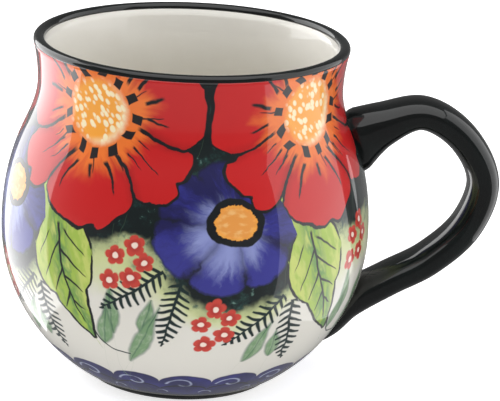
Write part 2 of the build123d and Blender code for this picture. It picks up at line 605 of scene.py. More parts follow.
@dataclass(frozen=True)
class BroadLeaf:
    """A broad green leaf that hangs point down: a wide upper blade over a narrower tongue."""

    length: float = 32.0
    blade: float = 9.5
    tongue: float = 5.9
    vein_spacing: float = 6.4

    def build(self) -> bpy.types.NodeTree:
        """Builds the leaf's node group.

        Returns:
            The group.
        """
        work = MotifGroup("broad_leaf")
        x, y, turn, grain = work.place
        share = (y / -self.length + 0.5).low(1.0).high(0.0)
        across = x + (share * math.pi).sine() * 1.2
        oval = (share - 0.3) * (1 / 0.335)
        upper = (1.0 - oval * oval).high(0.0).math("SQRT") * self.blade
        lower = ((1.0 - share) * 2.1).low(1.0).power(0.8) * self.tongue * share.rise(0.24, 0.5)
        half = upper.high(lower) + grain * 0.35
        depth = half - abs(across)
        inside = depth.rise(-0.1, 0.16)

        brush = work.brush(0.2, 3.0, work.vector(x * 2.6, y, turn))
        leaf = work.flat(Pigment.LEAF_GREEN)
        leaf = leaf.over((brush - abs(across) * 0.045).rise(0.3, 0.56) * 0.9, Pigment.LEAF_SHADE)
        leaf = leaf.over((brush + abs(across) * 0.03).rise(0.55, 0.82) * 0.85, Pigment.LEAF_YELLOW)
        result = work.colour("Under").over(inside, leaf)

        rib = across.line((1.0 - share) * 0.5 + 0.28) * share.rise(0.03, 0.06) * share.rise(0.86, 0.8)
        run = abs(across) / (half + 0.01)
        lane = (y + abs(across) * 1.25) / self.vein_spacing + 50.05 + across.math("SIGN") * 0.16
        veins = ((lane.fraction() - 0.5) * self.vein_spacing * 0.62).line(0.62 - run * 0.5, 0.15)
        veins = veins * run.rise(0.8, 0.7) * share.rise(0.08, 0.12) * share.rise(0.74, 0.7)
        outline = (depth - 0.15).line(brush * 0.9 + 0.32) * (brush + 0.35).rise(0.62, 0.72)
        outline = outline * share.rise(0.0, 0.02) * share.rise(1.0, 0.985)
        result = result.over((rib.high(veins) * inside).high(outline), Pigment.INK)
        return work.finish(result)


@dataclass(frozen=True)
class Fern:
    """A dark fern frond: a bent stem with short slanting leaflets on both sides."""

    length: float = 19.5
    half_width: float = 3.8
    spacing: float = 1.85

    def build(self) -> bpy.types.NodeTree:
        """Builds the frond's node group.

        Returns:
            The group.
        """
        work = MotifGroup("fern", "Bend")
        x, y, _, grain = work.place
        share = (y / -self.length + 0.5).low(1.0).high(0.0)
        across = x + (share * share) * work.number("Bend")
        away = abs(across)
        half = ((share * 0.9 + 0.1) * math.pi).sine().high(0.0).power(0.8) * self.half_width + grain * 0.7
        lane = (y + away * 0.5 - away * away * 0.03) / self.spacing + 60.0 + across.math("SIGN") * 0.21
        leaflet = ((lane.fraction() - 0.5) * self.spacing).line(1.08 - away * 0.15, 0.17)
        leaflet = leaflet * (half - away).rise(-0.1, 0.35)
        ends = share.rise(0.0, 0.015) * share.rise(1.0, 0.985)
        stem = across.line(0.85 - share * 0.4)
        result = work.colour("Under").over(leaflet.high(stem) * ends, Pigment.FERN)
        return work.finish(result)


@dataclass(frozen=True)
class Blossom:
    """A small five-petalled red blossom with a pale ring and a dot."""

    radius: float = 2.7

    def build(self) -> bpy.types.NodeTree:
        """Builds the blossom's node group.

        Returns:
            The group.
        """
        work = MotifGroup("blossom")
        x, y, turn, grain = work.place
        r = hypotenuse(x, y)
        wave = abs(((y.math("ARCTAN2", x) + turn * 0.7) * 2.5).sine()).power(0.6)
        edge = wave * (self.radius * 0.3) + (self.radius * 0.68 + grain * 0.35)
        petals = work.flat(Pigment.BLOSSOM).over(r.rise(1.9, 0.9) * 0.5, Pigment.BLOSSOM_DEEP)
        result = work.colour("Under").over((edge - r).rise(-0.16, 0.3), petals)
        result = result.over((r + grain * 0.3).rise(0.85, 0.55), Pigment.BLOSSOM_PALE)
        return work.finish(result)


@dataclass(frozen=True)
class SoftLeaf:
    """A slim grey-green leaf laid in with one soft stroke of the brush."""

    half_width: float = 2.0

    def build(self) -> bpy.types.NodeTree:
        """Builds the leaf's node group.

        Returns:
            The group.
        """
        work = MotifGroup("soft_leaf", "Length")
        x, y, turn, grain = work.place
        share = (y / (work.number("Length") * -1.0) + 0.5).low(1.0).high(0.0)
        half = (share.power(1.35) * math.pi).sine().high(0.0) * (self.half_width + grain * 0.25)
        depth = half - abs(x)
        brush = work.brush(0.5, 2.0, work.vector(x * 2.0, y, turn))
        body = depth.rise(-0.15, 0.4) * brush.rise(0.2, 0.62, 0.7, 1.0)
        result = work.colour("Under").over(body, Pigment.GREY_LEAF)
        darker = (depth.line(0.6, 0.35) * 0.55).high(x.line(0.3, 0.2) * 0.7 * depth.rise(0.0, 0.3))
        stalk = x.line(0.34, 0.15) * share.rise(0.4, 0.3)
        ends = share.rise(0.0, 0.02) * share.rise(1.0, 0.98)
        result = result.over(darker.high(stalk * 0.8) * ends, Pigment.STALK_GREEN)
        return work.finish(result)


@dataclass(frozen=True)
class Tendril:
    """A thin dark stem that sweeps round from a leaf's point in a quarter turn."""

    radius: float = 9.2

    def build(self) -> bpy.types.NodeTree:
        """Builds the stem's node group.

        Returns:
            The group.
        """
        work = MotifGroup("tendril")
        x, y, _, grain = work.place
        line = (hypotenuse(x, y) - self.radius).line(grain * 0.15 + 0.4)
        line = line * x.rise(0.2, -0.2) * y.rise(-1.6, -2.2)
        return work.finish(work.colour("Under").over(line, Pigment.FERN))


# The painted decoration as a whole


@dataclass(frozen=True)
class Spot:
    """Where a motif sits: its angle round the bowl, its height up the side and how it is turned."""

    angle: float
    height: float
    turn: float = 0.0
    last: int = 3


@dataclass
class Decoration:
    """The whole painting, repeated round the bowl from one side of the handle to the other."""

    period: float = 82.5
    seam: float = 18.6
    poppies: Spot = Spot(-44, 81)
    blue_flowers: Spot = Spot(-77, 57)
    broad_leaves: Spot = Spot(-45, 39, 19)
    ferns: tuple[tuple[Spot, float], ...] = (
        (Spot(-69, 31, -43), 2.0),
        (Spot(-57, 27, 3), -1.5),
        (Spot(-107, 39, -48, last=2), 2.0),
        (Spot(-95, 34, -11, last=2), 1.0),
    )
    posies: tuple[Spot, ...] = (Spot(-109, 46), Spot(-82, 31, 22))
    posy: tuple[tuple[float, float], ...] = ((-3, 2), (1.5, 5), (4, 1), (1, -3), (-4, -4))
    soft_leaves: tuple[tuple[Spot, float], ...] = (
        (Spot(-114, 34), 14),
        (Spot(-103, 33, -14), 10),
        (Spot(-104, 27, -24), 20),
        (Spot(-67, 25, -22), 14),
        (Spot(-34, 29, -9), 12),
        (Spot(-61, 24), 9),
    )
    tendrils: Spot = Spot(-109, 30)
    scallops: int = 18
    rim_line: float = 90.2

    def paint(self, tree: bpy.types.NodeTree) -> Colour:
        """Paints everything, from the ground up.

        Args:
            tree: The material's node tree.

        Returns:
            The finished colour.
        """
        self.tree = tree
        self._coordinates()
        colour = self._ground()
        colour = self._band(colour)
        soft_leaf = SoftLeaf().build()
        for spot, length in self.soft_leaves:
            colour = self._motif(soft_leaf, spot, colour, {"Length": length})
        colour = self._motif(Tendril().build(), self.tendrils, colour)
        fern = Fern().build()
        for spot, bend in self.ferns:
            colour = self._motif(fern, spot, colour, {"Bend": bend})
        blossom = Blossom().build()
        for spot in self.posies:
            for offset in self.posy:
                colour = self._motif(blossom, spot, colour, offset=offset)
        colour = self._motif(BlueFlower().build(), self.blue_flowers, colour)
        colour = self._motif(BroadLeaf().build(), self.broad_leaves, colour)
        colour = self._motif(Poppy().build(), self.poppies, colour)
        return colour

    def _coordinates(self) -> None:
        """Reads the bowl's angle, height and radius, with the small waver of a hand-held brush."""
        tree = self.tree
        paint_map = tree.nodes.new("ShaderNodeUVMap")
        paint_map.uv_map = PAINT_UV
        around, up, _ = split_vector(tree, paint_map.outputs[0])
        self.angle = around * TAU
        self.height = up * PAINT_UV_HEIGHT
        x, y, _ = split_vector(tree, tree.nodes.new("ShaderNodeTexCoord").outputs["Object"])
        self.radius = hypotenuse(x, y) * (1 / MM)
        waver = noise(tree, 130.0, 2.0, 0.55).socket.node.outputs["Color"]
        first, second, _ = split_vector(tree, waver)
        self.waver_across = (first - 0.5) * 2.0
        self.waver_along = (second - 0.5) * 2.0
        self.grain = (noise(tree, 330.0, 3.0, 0.6) - 0.5) * 2.0

    def _local(self, spot: Spot) -> tuple[Value, Value, Value]:
        """Coordinates round the nearest repeat of a motif.

        Args:
            spot: Where the motif sits in the repeat that faces the viewer.

        Returns:
            Millimetres across and along the motif, and the number of its repeat.
        """
        first = (spot.angle + 360.0 - self.seam) % self.period + self.seam
        steps = (self.angle - math.radians(first)) * (1 / math.radians(self.period))
        number = steps.math("ROUND").high(0.0).low(float(spot.last))
        across = (steps - number) * math.radians(self.period) * self.radius + self.waver_across
        along = self.height - spot.height + self.waver_along
        if spot.turn:
            cos_turn, sin_turn = math.cos(math.radians(spot.turn)), math.sin(math.radians(spot.turn))
            across, along = across * cos_turn + along * sin_turn, along * cos_turn - across * sin_turn
        return across, along, number

    def _motif(self, group: bpy.types.NodeTree, spot: Spot, under: Colour,
               more: Optional[dict[str, float]] = None, offset: tuple[float, float] = (0.0, 0.0)) -> Colour:
        """Paints one motif at a spot of every repeat.

        Args:
            group: The motif's node group.
            spot: Where it sits.
            under: The colour so far.
            more: Further inputs of the group.
            offset: How far across and up from the spot the motif sits.

        Returns:
            The colour with the motif.
        """
        across, along, number = self._local(spot)
        across, along = across - offset[0], along - offset[1]
        values: dict[str, Union[float, Value, Colour]] = {
            "Across": across, "Along": along, "Turn Of Bowl": number, "Grain": self.grain, "Under": under,
        }
        values.update(more or {})
        node = place_group(self.tree, group, values)
        return Colour(self.tree, node.outputs["Colour"])

    def _ground(self) -> Colour:
        """The cream glaze, the pale green wash and the dark sponged ground behind the flowers.

        Returns:
            The ground's colour.
        """
        tree = self.tree
        cloud = noise(tree, 85.0, 4.0, 0.6) - 0.5
        across, along, _ = self._local(self.blue_flowers)
        from_flower = hypotenuse(across, along)
        level = self.height + cloud * 15.0
        halo = from_flower + cloud * 9.0
        wash = level.rise(36.5, 47.0).high(halo.rise(29.0, 22.5))
        dark = level.rise(49.8, 53.2).high(halo.rise(22.4, 19.6))
        scrub = noise(tree, 210.0, 5.0, 0.7).rise(0.5, 0.72)
        ground = Colour(tree, Pigment.CREAM).over(wash * 0.92, Pigment.WASH_GREEN)
        edge = level.rise(45.5, 50.5).high(halo.rise(24.6, 21.4))
        ground = ground.over(edge * scrub.rise(-0.6, 1.0), Pigment.GROUND_TEAL)
        teal = Colour(tree, Pigment.GROUND_DARK).over(scrub * 0.7, Pigment.GROUND_TEAL)
        flecks = noise(tree, 420.0, 3.0, 0.6).rise(0.64, 0.74)
        teal = teal.over(flecks * scrub.rise(0.1, 0.7) * 0.8, Pigment.GROUND_FLECK)
        return ground.over(dark, teal)

    def _band(self, colour: Colour) -> Colour:
        """The blue scalloped band above the foot, with a pale curl in each scallop.

        Args:
            colour: The colour so far.

        Returns:
            The colour with the band.
        """
        step = self.angle * (self.scallops / TAU) + self.waver_across * 0.08
        part = step.fraction() - 0.5
        arch = (1.0 - part * part * 4.0).high(0.0).math("SQRT")
        top = arch * 3.6 + 10.0
        height = self.height + self.waver_along * 0.4
        depth = top - height
        tone = noise(self.tree, 160.0, 3.0, 0.6)
        band = Colour(self.tree, Pigment.BAND_BLUE).over(tone.rise(0.42, 0.7) * 0.6, Pigment.BLUE_PETAL)
        lower_top = arch * 3.0 + 5.2
        band = band.over((lower_top - height).line(0.7, 0.3) * 0.9, Pigment.INK)
        width = self.radius * (TAU / self.scallops)
        across = part * width
        curl = hypotenuse(across * 0.75 + 0.5, height - 9.0)
        turned = (height - 9.0).math("ARCTAN2", across)
        curl_line = (curl - turned * 0.35 - 1.7).line(0.42, 0.2) * height.rise(6.6, 7.4)
        low_curl = hypotenuse((abs(part) - 0.5) * width, height - 3.6)
        curl_line = curl_line.high((low_curl - 1.3).line(0.36, 0.2) * height.rise(3.2, 3.8))
        band = band.over(curl_line * tone.rise(0.3, 0.5), Pigment.BAND_PALE)
        band = band.over((depth - 0.3).line(0.55, 0.3) * 0.7, Pigment.BLUE_DEEP)
        result = colour.over(depth.rise(-0.25, 0.25), band)
        rim = (height + self.grain * 0.5).rise(self.rim_line - 0.3, self.rim_line)
        result = result.over(rim, Pigment.GREEN_BLACK)
        return result.over((height - 0.2).rise(1.5, 0.9), Pigment.FOOT_BLACK)


# Finishes


@dataclass(frozen=True)
class GlazeSkin:
    """How a fired clear glaze catches light: a soft body under a hard, almost even coat."""

    coat: float = 1.0
    coat_roughness: float = 0.035
    coat_ior: float = 1.52
    body_roughness: float = 0.42
    body_specular: float = 0.3
    ripple: float = 0.10
    ripple_scale: float = 46.0
    relief: float = 0.4 * MM
    pits: float = 0.05

    def surface(self, material: bpy.types.Material, ripples: bpy.types.NodeTree) -> bpy.types.Node:
        """Makes the material's shader.

        Args:
            material: The material to dress.
            ripples: The group that gives the glaze's relief.

        Returns:
            The Principled BSDF, with its base colour still to set.
        """
        material.use_nodes = True
        tree = material.node_tree
        shader = tree.nodes["Principled BSDF"]
        for name, value in (("Roughness", self.body_roughness), ("Specular IOR Level", self.body_specular),
                            ("Coat Weight", self.coat), ("Coat Roughness", self.coat_roughness),
                            ("Coat IOR", self.coat_ior)):
            shader.inputs[name].default_value = value
        surface = place_group(tree, ripples, {"Scale": self.ripple_scale, "Pits": self.pits})
        bump = tree.nodes.new("ShaderNodeBump")
        bump.inputs["Strength"].default_value = self.ripple
        bump.inputs["Distance"].default_value = self.relief
        tree.links.new(surface.outputs["Height"], bump.inputs["Height"])
        for normal in ("Normal", "Coat Normal"):
            tree.links.new(bump.outputs["Normal"], shader.inputs[normal])
        return shader


def ripple_group() -> bpy.types.NodeTree:
    """Builds the relief that every glaze shares: slow ripples from the brush and the kiln, and fine pits.

    Returns:
        The group, with a Height output.
    """
    work = Brushwork("glaze_relief", ("Scale", "Pits"))
    slow = noise(work.tree, work.number("Scale"), 1.5, 0.4)
    pits = noise(work.tree, 900.0, 1.0).rise(0.66, 0.8) * work.number("Pits")
    work.give("Height", slow - pits)
    return work.close()


class Finishes:
    """Every material of the mug, made once."""

    def __init__(self) -> None:
        """Builds the shared groups and the materials."""
        self.ripples = ripple_group()
        self.painted = self._painted()
        self.lining = self._mottled("cream_glaze", Pigment.LINING, Pigment.CLAY, 0.10,
                                    GlazeSkin(body_roughness=0.5, ripple=0.08))
        self.dark = self._mottled("green_black_glaze", Pigment.GREEN_BLACK, Pigment.GROUND_TEAL, 0.05,
                                  GlazeSkin(body_roughness=0.4, body_specular=0.1, ripple=0.14))
        self.foot = self._mottled("dark_foot_glaze", Pigment.FOOT_BLACK, Pigment.CLAY, 0.22,
                                  GlazeSkin(coat=0.4, coat_roughness=0.2, ripple=0.25))
        self.clay = self._mottled("fired_clay", Pigment.CLAY, Pigment.CREAM, 0.5,
                                  GlazeSkin(coat=0.0, body_roughness=0.85, ripple=0.5, pits=0.4))

    def _painted(self) -> bpy.types.Material:
        """The painted outside of the bowl.

        Returns:
            The material.
        """
        material = bpy.data.materials.new("painted_glaze")
        shader = GlazeSkin().surface(material, self.ripples)
        Decoration().paint(material.node_tree).put(shader.inputs["Base Color"])
        return material

    def _mottled(self, name: str, main: Pigment, second: Pigment, share: float,
                 skin: GlazeSkin) -> bpy.types.Material:
        """A glaze of one colour with a faint cloud of a second.

        Args:
            name: The material's name.
            main: Its colour.
            second: The colour of the clouds.
            share: How strong the clouds are.
            skin: How the glaze catches light.

        Returns:
            The material.
        """
        material = bpy.data.materials.new(name)
        shader = skin.surface(material, self.ripples)
        tree = material.node_tree
        cloud = noise(tree, 60.0, 4.0, 0.6).rise(0.4, 0.75)
        Colour(tree, main).over(cloud * share, second).put(shader.inputs["Base Color"])
        return material


# Meshes


def add_object(name: str, data: bpy.types.ID) -> bpy.types.Object:
    """Puts a mesh, a light or a camera in the scene.

    Args:
        name: The object's name.
        data: The mesh, light or camera.

    Returns:
        The object.
    """
    thing = bpy.data.objects.new(name, data)
    bpy.context.scene.collection.objects.link(thing)
    return thing


def add_mesh(name: str, shape: bmesh.types.BMesh, material: bpy.types.Material) -> bpy.types.Object:
    """Puts a bmesh in the scene as an object of one material, and frees it.

    Args:
        name: The object's name.
        shape: The bmesh.
        material: Its finish.

    Returns:
        The object.
    """
    mesh = bpy.data.meshes.new(name)
    shape.to_mesh(mesh)
    shape.free()
    mesh.materials.append(material)
    return add_object(name, mesh)


def bezier(start: Vector, out: Vector, back: Vector, end: Vector, count: int) -> list[Vector]:
    """Points of a curve between two knots, both included."""
    return list(interpolate_bezier(start, out, back, end, count))


class Piece:
    """A finished visible piece of the mug."""

    def __init__(self, name: str, shape: bmesh.types.BMesh, material: bpy.types.Material) -> None:
        """Turns a bmesh in millimetres into an object in metres.

        Args:
            name: The object's name.
            shape: The mesh, which is freed.
            material: Its finish.
        """
        bmesh.ops.scale(shape, vec=(MM, MM, MM), verts=shape.verts)
        for face in shape.faces:
            face.smooth = True
        self.object = add_mesh(name, shape, material)

    def stand_for(self, slot: str, *nodes: str) -> None:
        """Fixes the piece to the body and lets it replace CAD nodes.

        Args:
            slot: The record's material slot; not used.
            *nodes: The nodes that it stands for.
        """
        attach(self.object, BODY)
        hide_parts(*nodes)
        faces = len(self.object.data.polygons)
        log.info("%s: %d faces, stands for %s", self.object.name, faces, ", ".join(nodes))


def turned(section: Sequence[tuple[float, float]], steps: int, closed: bool = True) -> bmesh.types.BMesh:
    """Spins a section round the bowl's axis.

    Args:
        section: Radius and height of its points, in order.
        steps: Number of steps of the spin.
        closed: Whether the section's last point joins its first.

    Returns:
        The closed shell.
    """
    shape = bmesh.new()
    verts = [shape.verts.new((radius, 0.0, height)) for radius, height in section]
    pairs = zip(verts, verts[1:] + verts[:1] if closed else verts[1:])
    edges = [shape.edges.new(pair) for pair in pairs]
    bmesh.ops.spin(shape, geom=verts + edges, cent=(0, 0, 0), axis=(0, 0, 1), dvec=(0, 0, 0),
                   angle=TAU, steps=steps, use_merge=True, use_normal_flip=False, use_duplicate=False)
    bmesh.ops.remove_doubles(shape, verts=shape.verts, dist=1e-4)
    bmesh.ops.recalc_face_normals(shape, faces=shape.faces)
    return shape


@dataclass
class Bowl:
    """The pot's thrown form, with the coats, lip and foot that follow it."""

    height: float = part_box("lip_band")[1].z / MM
    belly_radius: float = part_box("painted_glaze")[1].y / MM
    foot_height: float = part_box("foot_ring")[1].z / MM
    lip_seat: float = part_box("lip_band")[0].z / MM
    rim_radius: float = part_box("lip_band")[1].y / MM
    foot_top_radius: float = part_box("foot_ring")[1].y / MM
    recess_radius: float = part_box("base_glaze")[1].y / MM
    belly_height: float = 38.5
    bowl_foot_radius: float = 27.4
    shoulder: tuple[float, float] = (41.1, 64.0)
    shoulder_slope: float = -0.465
    neck: tuple[float, float] = (37.9, 75.5)
    belly_wall: float = 4.4
    neck_wall: float = 3.5
    lip_wall: float = 2.8
    inner_floor: float = 8.4
    cove_rise: float = 2.1
    cove_pull: float = 1.9
    floor_flat: float = 24.4
    coat: float = 0.35
    foot_taper: float = 2.4
    foot_land: float = 3.0
    foot_edge: float = 0.6
    steps: int = 288
    hidden_steps: int = 192
    base_steps: int = 128
    hidden_strip: float = 0.03
    arc: list[tuple[float, float]] = field(default_factory=list)

    @property
    def depth(self) -> float:
        """Upright half-axis of the ellipse under the belly's widest point."""
        share = self.bowl_foot_radius / self.belly_radius
        return (self.belly_height - self.foot_height) / math.sqrt(1 - share**2)

    def radius_at(self, height: float, belly_in: float = 0.0, neck_in: float = 0.0,
                  lip_in: float = 0.0) -> float:
        """Radius of the bowl's side.

        Args:
            height: Height above the table.
            belly_in: How far inside the outer surface at the belly.
            neck_in: The same at the neck.
            lip_in: The same at the lip.

        Returns:
            The radius at that height.
        """
        belly = self.belly_radius - belly_in
        shoulder = self.shoulder[0] - (belly_in + neck_in) / 2
        neck = self.neck[0] - neck_in
        if height <= self.belly_height:
            share = (self.belly_height - height) / (self.depth - belly_in)
            return belly * math.sqrt(max(0.0, 1 - share**2))
        if height <= self.shoulder[1]:
            return eased(height, (self.belly_height, self.shoulder[1]), (belly, shoulder),
                         (0.0, self.shoulder_slope))
        if height <= self.neck[1]:
            return eased(height, (self.shoulder[1], self.neck[1]), (shoulder, neck),
                         (self.shoulder_slope, 0.0))
        flare = self.rim_radius - lip_in - neck
        rise = self.lip_seat - self.neck[1]
        curve = (flare**2 + rise**2) / (2 * flare)
        return neck + curve - math.sqrt(curve**2 - (height - self.neck[1]) ** 2)

    def side(self, bottom: float, count: int, **insets: float) -> list[tuple[float, float]]:
        """Points up the side to the lip's seat, closer where the bowl curves in below.

        Args:
            bottom: Height of the first point.
            count: Number of steps below the belly's widest point, and again above it.
            **insets: How far inside the outer surface, as for radius_at.

        Returns:
            Radius and height of each point.
        """
        depth = self.depth - insets.get("belly_in", 0.0)
        low = math.asin(min(1.0, (self.belly_height - bottom) / depth))
        lower = [self.belly_height - depth * math.sin(low * (1 - k / count)) for k in range(count)]
        rise = self.lip_seat - self.belly_height
        upper = [self.belly_height + rise * k / count for k in range(count + 1)]
        return [(self.radius_at(z, **insets), z) for z in lower + upper]

    def build(self, finishes: Finishes) -> None:
        """Builds and dresses the coats, the lip and the foot.

        Args:
            finishes: The mug's materials.
        """
        self._painted_coat(finishes.painted)
        self._lining(finishes.lining)
        self._lip(finishes.dark)
        self._foot(finishes.foot)
        self._base(finishes.lining)
        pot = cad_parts["clay_pot"]
        pot.data.materials.clear()
        pot.data.materials.append(finishes.clay)

    def _painted_coat(self, material: bpy.types.Material) -> None:
        """The painted coat, as a thin closed shell with a map of angle and height on it.

        Args:
            material: Its finish.
        """
        outer = self.side(self.foot_height, 56)
        inner = self.side(self.foot_height, 7, belly_in=self.coat, neck_in=self.coat, lip_in=self.coat)
        self.arc = arc_lengths(outer)
        shape = turned(outer + inner[::-1], self.steps)
        paint, bake = (shape.loops.layers.uv.new(name) for name in (PAINT_UV, BAKE_UV))
        total = self.arc[-1][1]
        strip = self.hidden_strip
        for face in shape.faces:
            middle = face.calc_center_median()
            hidden = middle.xy.length < self.radius_at(middle.z) - self.coat / 2
            about = math.atan2(middle.y, middle.x) % TAU
            for loop in face.loops:
                spot = loop.vert.co
                angle = math.atan2(spot.y, spot.x) % TAU
                if angle - about > math.pi:
                    angle -= TAU
                if about - angle > math.pi:
                    angle += TAU
                height = read_off(self.arc, spot.z)
                loop[paint].uv = (angle / TAU, height / PAINT_UV_HEIGHT)
                share = height / total
                up = share * strip * 0.8 if hidden else strip + share * (1 - strip)
                loop[bake].uv = (angle / TAU, up)
        Piece("painted_coat", shape, material).stand_for("painted_glaze", "painted_glaze")

    def _lining(self, material: bpy.types.Material) -> None:
        """The cream lining: wall, cove and floor, closed behind by its own underside.

        Args:
            material: Its finish.
        """
        walls = {"belly_in": self.belly_wall, "neck_in": self.neck_wall, "lip_in": self.lip_wall}
        cove = self.inner_floor + self.cove_rise
        wall = self.side(cove, 26, **walls)
        foot, above = Vector((wall[0][0], 0, wall[0][1])), Vector((wall[1][0], 0, wall[1][1]))
        slope = (foot - above).normalized() * self.cove_pull
        flat = Vector((self.floor_flat, 0, self.inner_floor))
        bend = bezier(flat, flat + Vector((self.cove_pull, 0, 0)), foot + slope, foot, 8)[:-1]
        floor = [(0.0, self.inner_floor), (self.floor_flat * 0.5, self.inner_floor)]
        front = floor + [(v.x, v.z) for v in bend] + wall
        back = self.coat * 0.9
        behind = [(r + back, z) if z > cove else (r, z - back) for r, z in front]
        shape = turned(front + behind[::-1], self.hidden_steps, closed=False)
        Piece("cream_lining", shape, material).stand_for("cream_glaze", "lining_glaze")

    def _lip(self, material: bpy.types.Material) -> None:
        """The dipped lip, rounded over the top and running on from the flare below it.

        Args:
            material: Its finish.
        """
        outside = Vector((self.rim_radius, 0, self.lip_seat))
        inside = Vector((self.rim_radius - self.lip_wall, 0, self.lip_seat))
        top = Vector((self.rim_radius - self.lip_wall * 0.48, 0, self.height))
        rise = self.height - self.lip_seat
        lift = Vector((0.22, 0, rise * 0.62))
        roll = Vector((self.lip_wall * 0.32, 0, 0))
        over = bezier(outside, outside + lift, top + roll, top, 12)
        down = bezier(top, top - roll, inside + Vector((0, 0, rise * 0.6)), inside, 12)
        section = [(v.x, v.z) for v in over + down[1:]]
        section.append((self.rim_radius - self.lip_wall / 2, self.lip_seat))
        Piece("rolled_lip", turned(section, self.steps), material).stand_for("dark_green_glaze", "lip_band")

    def _foot(self, material: bpy.types.Material) -> None:
        """The turned foot ring, rounded at the table and closed against the pot.

        Args:
            material: Its finish.
        """
        foot_radius = self.foot_top_radius - self.foot_taper
        shape = turned(
            [(self.recess_radius, self.foot_height), (self.foot_top_radius, self.foot_height),
             (foot_radius, 0.0), (foot_radius - self.foot_land, 0.0)], self.hidden_steps)
        sharp = [edge for edge in shape.edges if all(v.co.z < 1e-3 for v in edge.verts)
                 and abs(edge.verts[0].co.xy.length - edge.verts[1].co.xy.length) < 1e-2]
        bmesh.ops.bevel(shape, geom=sharp, offset=self.foot_edge, offset_type="OFFSET", segments=4,
                        profile=0.5, affect="EDGES", material=-1)
        Piece("turned_foot", shape, material).stand_for("dark_foot_glaze", "foot_ring")

    def _base(self, material: bpy.types.Material) -> None:
        """The glazed base inside the foot ring, a little hollow at its middle.

        Args:
            material: Its finish.
        """
        radius, low, high = self.recess_radius, self.foot_height - self.coat, self.foot_height
        section = [(0.0, low + 0.12), (radius * 0.4, low + 0.09), (radius * 0.8, low), (radius, low),
                   (radius, high), (0.0, high)]
        shape = turned(section, self.base_steps, closed=False)
        Piece("glazed_base", shape, material).stand_for("cream_glaze", "base_glaze")


def eased(at: float, ends: tuple[float, float], values: tuple[float, float],
          slopes: tuple[float, float]) -> float:
    """A cubic between two values with given slopes.

    Args:
        at: Where to read it.
        ends: Where it begins and ends.
        values: Its values there.
        slopes: Its slopes there.

    Returns:
        The value.
    """
    span = ends[1] - ends[0]
    t = (at - ends[0]) / span
    return ((2 * t**3 - 3 * t**2 + 1) * values[0] + (t**3 - 2 * t**2 + t) * span * slopes[0]
            + (3 * t**2 - 2 * t**3) * values[1] + (t**3 - t**2) * span * slopes[1])


def arc_lengths(points: Sequence[tuple[float, float]]) -> list[tuple[float, float]]:
    """Height and distance along a section, for each of its points.

    Args:
        points: Radius and height of the section's points.

    Returns:
        Height and distance from the first point, for each.
    """
    result, total, before = [], 0.0, points[0]
    for point in points:
        total += math.dist(point, before)
        result.append((point[1], total))
        before = point
    return result


def read_off(table: Sequence[tuple[float, float]], height: float) -> float:
    """Distance along the side at a height, read between the two nearest points.

    Args:
        table: Heights and distances, from arc_lengths.
        height: Where to read.

    Returns:
        The distance.
    """
    for (low, first), (high, last) in zip(table, table[1:]):
        if height <= high:
            return first + (last - first) * max(0.0, (height - low) / (high - low))
    return table[-1][1]


